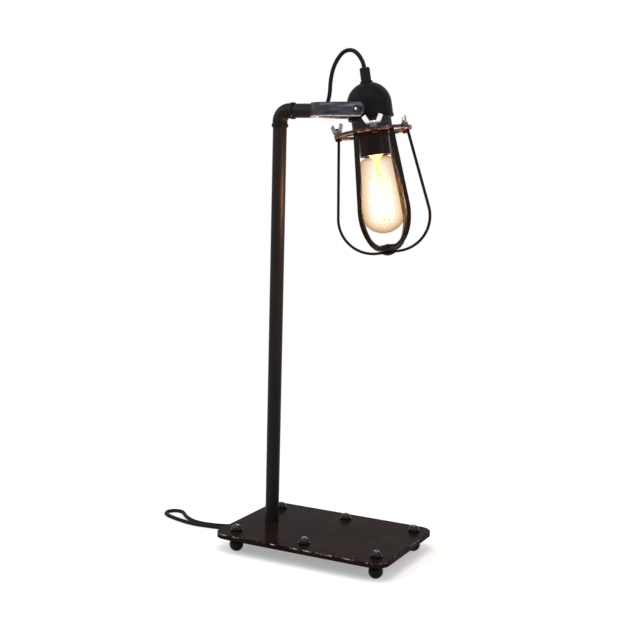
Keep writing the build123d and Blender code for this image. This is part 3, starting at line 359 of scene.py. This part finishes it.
def dress(piece, finish):
    """Puts a finish on a piece."""
    piece.data.materials.clear()
    piece.data.materials.append(finish.material)


def give(finish, *names):
    """Puts a finish on CAD nodes."""
    for name in names:
        dress(nodes[name], finish)


# Base plate: dark brown patina, cloudy, with rubbing marks and a light line in flecks along its top edge,
# strongest at the front, partly worn metal and partly a painted highlight.
plate_patina = Finish("plate_patina")
clouds = plate_patina.noise(22.0, 6.0, 0.6)
rubbed = plate_patina.noise(140.0, 3.0, 0.6, plate_patina.stretched(scale=(0.25, 1.0, 1.0), turn=(0, 0, 0.4)))
grain = plate_patina.noise(900.0, 2.0, 0.5)
brown = plate_patina.ramp(clouds, (0.30, (0.0046, 0.0030, 0.0028)), (0.55, (0.0088, 0.0052, 0.0046)),
                          (0.75, (0.0170, 0.0088, 0.0070)))
brown = plate_patina.mix(plate_patina.span(rubbed, 0.55, 0.75, 0.0, 0.3), brown, (0.026, 0.021, 0.019))
height = plate_patina.axis("Z")
# Light line just under the top edge, in flecks and strongest at the front: partly wear, partly a painted
# highlight on the rounded edge.
arris = plate_patina.times(plate_patina.span(height, PLATE_TOP - 1.7 * MM, PLATE_TOP - 0.4 * MM, 0.0, 1.0),
                           plate_patina.span(height, PLATE_TOP - 0.4 * MM, PLATE_TOP - 0.02 * MM, 1.0, 0.0))
front = plate_patina.span(plate_patina.axis("Y"), PLATE_FRONT + 2.5 * MM, PLATE_FRONT + 1.0 * MM, 0.0, 1.0)
patches = plate_patina.span(plate_patina.noise(95.0, 5.0, 0.65), 0.50, 0.66, 0.0, 1.0)
edge_wear_and_highlight = plate_patina.times(plate_patina.times(arris, patches), plate_patina.span(front, 0.0, 1.0, 0.35, 1.0))
plate_patina.join(plate_patina.mix(edge_wear_and_highlight, brown, (0.46, 0.42, 0.38)), "Base Color")
plate_patina.roughness(clouds, 0.14, 0.26)
plate_patina.bump(grain, 0.06, 0.3 * MM)
plate_patina.set(Specular_IOR_Level=0.006)
give(plate_patina, "base_plate")

# Post and arm: satin black paint on drawn tube.
pipe_black = Finish("pipe_black")
drawn = pipe_black.noise(60.0, 4.0, 0.6, pipe_black.stretched(scale=(1.0, 1.0, 0.12)))
speck = pipe_black.noise(1400.0, 2.0, 0.5)
pipe_black.colour(drawn, (0.30, (0.0022, 0.0019, 0.0019)), (0.70, (0.0062, 0.0046, 0.0042)))
pipe_black.roughness(drawn, 0.42, 0.52)
pipe_black.bump(speck, 0.06, 0.2 * MM)
pipe_black.set(Specular_IOR_Level=0.12)
give(pipe_black, "post_tube", "arm_tube")

# Elbow: cast, a little rougher than the tube, rubbed grey in spots.
cast_black = Finish("cast_black")
sand = cast_black.noise(700.0, 4.0, 0.6)
rubbed = cast_black.noise(90.0, 5.0, 0.6)
cast_black.colour(rubbed, (0.35, (0.0024, 0.0022, 0.0022)), (0.62, (0.0055, 0.0050, 0.0050)),
                  (0.80, (0.024, 0.022, 0.022)))
cast_black.roughness(rubbed, 0.38, 0.52)
cast_black.bump(sand, 0.22, 0.3 * MM)
cast_black.set(Specular_IOR_Level=0.08)
give(cast_black, "elbow")

# Bolts: shiny black domes with lighter crowns, partly worn to the metal and partly a painted highlight on top.
dome_black = Finish("dome_black")
chips = dome_black.noise(260.0, 5.0, 0.65)
black = dome_black.ramp(chips, (0.50, (0.0030, 0.0027, 0.0027)), (0.74, (0.0085, 0.0072, 0.0068)),
                        (0.88, (0.060, 0.052, 0.048)))
# Lighter crown at the top of each dome: partly worn metal, partly a painted highlight.
crown_wear_and_highlight = dome_black.span(dome_black.axis("Z"), BOLT_TOP - 1.4 * MM, BOLT_TOP - 0.4 * MM, 0.0, 1.0)
crown_wear_and_highlight = dome_black.times(crown_wear_and_highlight, dome_black.span(chips, 0.40, 0.58, 0.0, 1.0))
dome_black.join(dome_black.mix(crown_wear_and_highlight, black, (0.24, 0.22, 0.205)), "Base Color")
dome_black.roughness(chips, 0.12, 0.24)
dome_black.bump(chips, 0.12, 0.3 * MM)
dome_black.set(Specular_IOR_Level=0.14)
give(dome_black, "base_bolts")

# Cap: satin black-brown with faint marks round it.
cap_black = Finish("cap_black")
turned = cap_black.noise(330.0, 4.0, 0.6, cap_black.stretched(scale=(0.07, 0.07, 1.0), turn=(0, HEAD_TILT, 0)))
smear = cap_black.noise(55.0, 5.0, 0.6)
cap_black.colour(turned, (0.40, (0.0028, 0.0022, 0.0024)), (0.66, (0.0062, 0.0046, 0.0048)),
                 (0.82, (0.020, 0.016, 0.017)))
cap_black.roughness(smear, 0.40, 0.56)
cap_black.bump(turned, 0.10, 0.3 * MM)
cap_black.set(Specular_IOR_Level=0.05)
give(cap_black, "cap")

# Collar: grey-brown metal, scratched round.
collar_grey = Finish("collar_grey")
round_it = collar_grey.stretched(scale=(0.06, 0.06, 1.0), turn=(0, HEAD_TILT, 0))
brushed = collar_grey.noise(420.0, 4.0, 0.65, round_it)
collar_grey.colour(brushed, (0.36, (0.0095, 0.0080, 0.0082)), (0.60, (0.021, 0.018, 0.019)),
                   (0.78, (0.062, 0.058, 0.066)))
collar_grey.roughness(brushed, 0.46, 0.34)
collar_grey.bump(brushed, 0.14, 0.3 * MM)
collar_grey.set(Metallic=0.2, Specular_IOR_Level=0.08)
give(collar_grey, "holder_collar")

# Sleeve: dark red-brown moulded shell with a soft shine.
sleeve_brown = Finish("sleeve_brown")
swirl = sleeve_brown.noise(80.0, 5.0, 0.6)
sleeve_brown.colour(swirl, (0.35, (0.0060, 0.0024, 0.0022)), (0.70, (0.0130, 0.0050, 0.0042)))
sleeve_brown.roughness(swirl, 0.24, 0.36)
sleeve_brown.set(Specular_IOR_Level=0.08)
give(sleeve_brown, "holder_sleeve")

# Fork: blue-grey steel bar with long scratches, with painted shade towards the arm, and its lower edge lighter,
# partly worn metal and partly a painted highlight.
fork_steel = Finish("fork_steel")
long_scratch = fork_steel.noise(260.0, 4.0, 0.65, fork_steel.stretched(scale=(0.12, 1.0, 1.0)))
dents = fork_steel.noise(170.0, 5.0, 0.6)
wander = fork_steel.span(dents, NOISE_LOW, NOISE_HIGH, -0.5 * MM, 0.5 * MM)
ragged = fork_steel.math("ADD", fork_steel.axis("Z"), wander)
# Lighter lower edge: partly wear, partly a painted highlight.
low_edge_wear_and_highlight = fork_steel.span(ragged, FORK_FOOT + 0.6 * MM, FORK_FOOT + 1.6 * MM, 1.0, 0.0)
steel = fork_steel.ramp(long_scratch, (0.32, (0.016, 0.0155, 0.0190)), (0.54, (0.040, 0.039, 0.047)),
                        (0.68, (0.110, 0.110, 0.130)), (0.82, (0.26, 0.26, 0.29)))
# Painted shade darkening the fork towards the arm.
arm_end_shade = fork_steel.span(fork_steel.axis("X"), ARM_SHADE_START, ARM_SHADE_END, 0.75, 0.0)
steel = fork_steel.mix(arm_end_shade, steel, (0.012, 0.012, 0.014))
fork_steel.join(fork_steel.mix(low_edge_wear_and_highlight, steel, (0.30, 0.30, 0.32)), "Base Color")
fork_steel.roughness(dents, 0.36, 0.52)
fork_steel.bump(long_scratch, 0.22, 0.3 * MM)
fork_steel.set(Metallic=0.3, Specular_IOR_Level=0.1)
give(fork_steel, "fork")

# Gallery and cage ring: copper gone brown, with bright rubbed spots.
ring_copper = Finish("ring_copper")
tarnish = ring_copper.noise(130.0, 6.0, 0.65)
fine = ring_copper.noise(900.0, 3.0, 0.6)
ring_copper.colour(tarnish, (0.32, (0.014, 0.0070, 0.0060)), (0.54, (0.044, 0.021, 0.017)),
                   (0.64, (0.17, 0.092, 0.070)), (0.72, (0.74, 0.56, 0.45)))
ring_copper.roughness(tarnish, 0.52, 0.32)
ring_copper.bump(fine, 0.16, 0.3 * MM)
ring_copper.set(Metallic=0.5, Specular_IOR_Level=0.1)
give(ring_copper, "cage_gallery", "cage_ring")

# Cage strips: black paint with brown showing through in patches.
strip_black = Finish("strip_black")
rub = strip_black.noise(160.0, 5.0, 0.6)
strip_black.colour(rub, (0.40, (0.0044, 0.0030, 0.0028)), (0.60, (0.0084, 0.0050, 0.0042)),
                   (0.78, (0.018, 0.0096, 0.0074)))
strip_black.roughness(rub, 0.36, 0.50)
strip_black.bump(strip_black.noise(800.0, 2.0, 0.5), 0.10, 0.2 * MM)
strip_black.set(Specular_IOR_Level=0.05)
give(strip_black, "cage_strip_1", "cage_strip_2", "cage_strip_3", "cage_rivet", "cage_washer", "cage_studs")

# Plated steel: two greys each for the plating, and for the plating darkened as painted shade.
BRIGHT_TONES = (0.56, 0.84)
# Darker greys: painted shade on the wing nuts that face away from the light.
SHADED_TONES = (0.10, 0.34)


def plated_steel(name, low_tone, high_tone):
    """A cloudy plated finish, and its colour between two greys, which isn't joined yet."""
    made = Finish(name)
    cloudy = made.noise(300.0, 4.0, 0.6)
    made.roughness(cloudy, 0.42, 0.26)
    made.bump(cloudy, 0.08, 0.2 * MM)
    made.set(Metallic=0.55)
    return made, made.ramp(cloudy, (0.30, (low_tone,) * 3), (0.70, (high_tone,) * 3))


def wing_finish(name, tones):
    """Plated steel with painted shade at the foot of the hub."""
    made, tone = plated_steel(name, *tones)
    # Painted shade darkens the foot of the hub.
    hub_foot_shade = made.span(made.along(HEAD_UP, PIVOT), WING_SEAT + 4.2 * MM, WING_SEAT + 6.6 * MM, 1.0, 0.0)
    made.join(made.mix(hub_foot_shade, tone, (0.085, 0.075, 0.072)), "Base Color")
    return made


# Wing nuts: the front one bright, and the two others darker with painted shade.
give(wing_finish("wing_bright", BRIGHT_TONES), "wing_nut_1")
give(wing_finish("wing_painted_shade", SHADED_TONES), "wing_nut_2", "wing_nut_3")

# Fittings inside and below.
bright_plate, bright_tone = plated_steel("bright_plate", *BRIGHT_TONES)
bright_plate.join(bright_tone, "Base Color")
give(bright_plate, "base_nuts", "post_nipple", "post_washer", "post_nut", "post_insert", "arm_insert",
     "arm_nipple", "arm_nut", "grip_nut", "holder_nut", "bulb_contact")

# Pivot screws: dark steel, with a painted highlight on each head.
screw_dark = Finish("screw_dark")
slips = screw_dark.noise(420.0, 4.0, 0.6)
dark_steel = screw_dark.ramp(slips, (0.50, (0.014, 0.014, 0.016)), (0.62, (0.050, 0.050, 0.058)),
                             (0.78, (0.30, 0.30, 0.32)))
# Painted highlight: a small bright spot near the middle of each screw head.
painted_highlight_spot = screw_dark.times(screw_dark.band(HEAD_RIGHT, PIVOT, -0.6 * MM, 1.6 * MM),
                        screw_dark.band(HEAD_UP, PIVOT, 0.2 * MM, 1.5 * MM))
screw_dark.join(screw_dark.mix(painted_highlight_spot, dark_steel, (0.92, 0.92, 0.94)), "Base Color")
screw_dark.roughness(slips, 0.44, 0.26)
screw_dark.bump(slips, 0.12, 0.3 * MM)
screw_dark.set(Metallic=0.3, Specular_IOR_Level=0.1)
give(screw_dark, "pivot_screws")

# Feet: glossy black balls.
foot_gloss = Finish("foot_gloss")
dust = foot_gloss.noise(200.0, 5.0, 0.6)
foot_gloss.colour(dust, (0.40, (0.0040, 0.0040, 0.0040)), (0.75, (0.0085, 0.0080, 0.0080)))
foot_gloss.roughness(dust, 0.22, 0.36)
foot_gloss.set(Specular_IOR_Level=0.06)
give(foot_gloss, "ball_feet")

# Cord jacket, also on the cord inside the lamp.
cord_jacket = Finish("cord_jacket")
skin = cord_jacket.noise(700.0, 3.0, 0.5)
cord_jacket.colour(skin, (0.35, (0.0045, 0.0042, 0.0044)), (0.70, (0.0100, 0.0092, 0.0094)))
cord_jacket.roughness(skin, 0.46, 0.60)
cord_jacket.bump(skin, 0.10, 0.2 * MM)
cord_jacket.set(Specular_IOR_Level=0.06)
dress(supply_line, cord_jacket)
dress(head_loop, cord_jacket)
give(cord_jacket, "inner_cord", "holder_lead")

# Moulded black pieces on the cord.
moulded_black = Finish("moulded_black")
stipple = moulded_black.noise(1600.0, 2.0, 0.5)
moulded_black.colour(stipple, (0.35, (0.0050, 0.0048, 0.0050)), (0.70, (0.0105, 0.0098, 0.0100)))
moulded_black.roughness(stipple, 0.42, 0.54)
moulded_black.bump(stipple, 0.16, 0.2 * MM)
moulded_black.set(Specular_IOR_Level=0.06)
give(moulded_black, "cord_grip", "post_bush", "arm_bush", "switch_base", "switch_cover", "switch_rocker",
     "cord_tie", "plug_relief", "plug_body")

# Pivot washers: black fibre.
fibre_black = Finish("fibre_black")
felt = fibre_black.noise(1200.0, 5.0, 0.7)
fibre_black.colour(felt, (0.30, (0.008, 0.0074, 0.007)), (0.70, (0.019, 0.018, 0.017)))
fibre_black.bump(felt, 0.35, 0.3 * MM)
fibre_black.set(Roughness=0.9, Specular_IOR_Level=0.05)
give(fibre_black, "pivot_washers")

# Contacts of holder, bulb and plug: stained brass.
brass_plain = Finish("brass_plain")
stain = brass_plain.noise(240.0, 5.0, 0.6)
brass_plain.colour(stain, (0.30, (0.42, 0.30, 0.11)), (0.70, (0.72, 0.54, 0.24)))
brass_plain.roughness(stain, 0.40, 0.22)
brass_plain.set(Metallic=0.95)
give(brass_plain, "thread_shell", "centre_contact", "bulb_cap", "plug_pins")

# Holder's core: white glazed ceramic.
core_white = Finish("core_white")
glaze = core_white.noise(120.0, 4.0, 0.5)
core_white.colour(glaze, (0.30, (0.66, 0.64, 0.58)), (0.70, (0.78, 0.77, 0.72)))
core_white.roughness(glaze, 0.16, 0.28)
give(core_white, "holder_core")

# Insulator at the bulb's foot: black glass.
insulator_black = Finish("insulator_black")
insulator_black.colour(insulator_black.noise(300.0), (0.3, (0.006, 0.006, 0.008)), (0.7, (0.014, 0.014, 0.018)))
insulator_black.set(Roughness=0.15)
give(insulator_black, "bulb_insulator")

# Bulb: clear amber glass that glows round the filament, a lit stem, wire hooks and the filament.
GLOW_MIDDLE = up_head(FILAMENT_MIDDLE)
GLOW_HALF_WIDTH = 0.046
GLOW_HALF_HEIGHT = 0.064


def glow_of(finish):
    """One at the filament's middle, falling to nothing at the edge of a long drop along the head."""
    mapping = finish.node("ShaderNodeMapping")
    mapping.vector_type = "TEXTURE"
    mapping.inputs["Location"].default_value = GLOW_MIDDLE
    mapping.inputs["Rotation"].default_value = (0.0, -HEAD_TILT, 0.0)
    mapping.inputs["Scale"].default_value = (GLOW_HALF_WIDTH, GLOW_HALF_WIDTH, GLOW_HALF_HEIGHT)
    finish.link(finish.place, mapping.inputs["Vector"])
    ball = finish.node("ShaderNodeTexGradient")
    ball.gradient_type = "SPHERICAL"
    finish.link(mapping.outputs["Vector"], ball.inputs["Vector"])
    return ball.outputs["Fac"]


# Glass: a clear shader, tinted more where it is seen edge on, plus the glow, under a thin gloss.
bulb_amber = Finish("bulb_amber")
layer_weight = bulb_amber.node("ShaderNodeLayerWeight")
layer_weight.inputs["Blend"].default_value = 0.5
edge_on = layer_weight.outputs["Facing"]
tint = bulb_amber.ramp(edge_on, (0.02, (0.994, 0.984, 0.955)), (0.22, (0.972, 0.922, 0.868)),
                       (0.50, (0.945, 0.868, 0.765)), (0.92, (0.89, 0.76, 0.61)))
clear = bulb_amber.node("ShaderNodeBsdfTransparent")
bulb_amber.link(tint, clear.inputs["Color"])
glow = glow_of(bulb_amber)
haze = bulb_amber.ramp(glow, (0.0, (1.0, 0.56, 0.20)), (0.35, (1.0, 0.78, 0.40)), (0.6, (1.0, 0.90, 0.62)))
glow_level = bulb_amber.times(bulb_amber.span(glow, 0.05, 0.50, 0.0, 0.14),
                              bulb_amber.span(edge_on, 0.0, 0.5, 1.0, 0.12))
lit = bulb_amber.node("ShaderNodeEmission")
bulb_amber.link(haze, lit.inputs["Color"])
bulb_amber.link(glow_level, lit.inputs["Strength"])
glowing = bulb_amber.node("ShaderNodeAddShader")
bulb_amber.link(clear.outputs["BSDF"], glowing.inputs[0])
bulb_amber.link(lit.outputs["Emission"], glowing.inputs[1])
bulb_amber.set(Base_Color=(0.0, 0.0, 0.0, 1.0), Roughness=0.03, IOR=1.5)
gloss = bulb_amber.span(edge_on, 0.5, 1.0, 0.03, 0.22)
bulb_amber.surface(gloss, glowing.outputs["Shader"], bulb_amber.shader.outputs["BSDF"])
give(bulb_amber, "bulb_glass")
nodes["bulb_glass"].visible_shadow = False

stem_clear = Finish("stem_clear")
stem_clear.colour(stem_clear.noise(90.0), (0.3, (0.95, 0.78, 0.30)), (0.7, (1.0, 0.88, 0.46)))
stem_glow = stem_clear.ramp(stem_clear.noise(120.0), (0.3, (1.0, 0.80, 0.13)), (0.7, (1.0, 0.86, 0.24)))
stem_clear.join(stem_glow, "Emission Color")
stem_clear.set(Roughness=0.08, IOR=1.45, Transmission_Weight=0.6, Emission_Strength=0.6)
give(stem_clear, "bulb_stem")

hook_wire = Finish("hook_wire")
hook_wire.colour(hook_wire.noise(500.0), (0.3, (0.16, 0.12, 0.08)), (0.7, (0.34, 0.27, 0.18)))
hook_wire.set(Metallic=0.9, Roughness=0.35)
give(hook_wire, "upper_hooks", "lower_hooks")

filament_lit = Finish("filament_lit")
warm = filament_lit.noise(300.0, 3.0, 0.5)
filament_lit.join(filament_lit.ramp(warm, (0.3, (1.0, 0.66, 0.22)), (0.7, (1.0, 0.80, 0.42))), "Emission Color")
filament_lit.colour(warm, (0.3, (0.9, 0.55, 0.20)), (0.7, (1.0, 0.70, 0.30)))
filament_lit.set(Emission_Strength=2.6, Roughness=0.5)
give(filament_lit, "filament")

bulb_light = bpy.data.lights.new("bulb_light", "POINT")
bulb_light.energy = 3.2
bulb_light.color = (1.0, 0.46, 0.22)
bulb_light.shadow_soft_size = 0.022
bulb_lamp = bpy.data.objects.new("bulb_light", bulb_light)
bulb_lamp.location = GLOW_MIDDLE
bulb_lamp.parent = frame["bodies"]["head"]
scene.collection.objects.link(bulb_lamp)

# Studio: soft lamps and a pale floor that fades into a white surround, which camera, gloss and glass all see.
WORLD_LEVEL = 0.62
FLOOR_REACH = 6.0
FADE_START, FADE_END = 0.22, 0.75
FADE_NEAR = 0.35


def seen_white(tree, strength):
    """One for rays that show the background, and a lower strength for rays that only light the object."""
    path = tree.nodes.new("ShaderNodeLightPath")
    shown = path.outputs["Is Camera Ray"]
    for kind in ("Is Glossy Ray", "Is Transmission Ray"):
        either = tree.nodes.new("ShaderNodeMath")
        either.operation = "MAXIMUM"
        tree.links.new(shown, either.inputs[0])
        tree.links.new(path.outputs[kind], either.inputs[1])
        shown = either.outputs["Value"]
    level = tree.nodes.new("ShaderNodeMapRange")
    level.inputs["To Min"].default_value = strength
    tree.links.new(shown, level.inputs["Value"])
    return level.outputs["Result"]


studio = bpy.data.worlds.new("studio")
scene.world = studio
studio.use_nodes = True
backdrop = studio.node_tree.nodes["Background"]
backdrop.inputs["Color"].default_value = (1.0, 1.0, 1.0, 1.0)
studio.node_tree.links.new(seen_white(studio.node_tree, WORLD_LEVEL), backdrop.inputs["Strength"])

floor_mesh = bpy.data.meshes.new("floor")
sheet = bmesh.new()
bmesh.ops.create_grid(sheet, x_segments=1, y_segments=1, size=FLOOR_REACH)
sheet.to_mesh(floor_mesh)
sheet.free()
floor = bpy.data.objects.new("floor", floor_mesh)
scene.collection.objects.link(floor)
floor_white = Finish("floor_white")
floor_white.colour(floor_white.noise(3.0), (0.3, (0.91, 0.91, 0.91)), (0.7, (0.93, 0.93, 0.93)))
floor_white.set(Roughness=0.8, Specular_IOR_Level=0.1)
far = floor_white.node("ShaderNodeVectorMath")
far.operation = "LENGTH"
floor_white.link(floor_white.place, far.inputs[0])
away = floor_white.span(far.outputs["Value"], FADE_START, FADE_END, FADE_NEAR, 1.0)
whiteness = floor_white.times(away, seen_white(floor_white.tree, 0.0))
white = floor_white.node("ShaderNodeEmission")
floor_white.surface(whiteness, floor_white.shader.outputs["BSDF"], white.outputs["Emission"])
dress(floor, floor_white)


def soft_lamp(name, place, aim, size, energy):
    """A square studio lamp that points at a place."""
    data = bpy.data.lights.new(name, "AREA")
    data.size = size
    data.energy = energy
    made = bpy.data.objects.new(name, data)
    made.location = place
    made.rotation_euler = (Vector(aim) - Vector(place)).to_track_quat("-Z", "Y").to_euler()
    scene.collection.objects.link(made)


soft_lamp("lamp_left", (-1.6, -1.2, 1.6), aim=(0.0, 0.0, 0.3), size=1.2, energy=26.0)
soft_lamp("lamp_right", (1.8, -0.6, 1.5), aim=(0.0, 0.0, 0.3), size=1.2, energy=14.0)
soft_lamp("lamp_top", (0.3, -0.9, 2.2), aim=(0.0, 0.0, 0.0), size=1.0, energy=20.0)
soft_lamp("lamp_sparkle", (-0.5, -1.7, 1.5), aim=(0.0, 0.0, 0.2), size=0.3, energy=5.0)

bpy.context.view_layer.update()
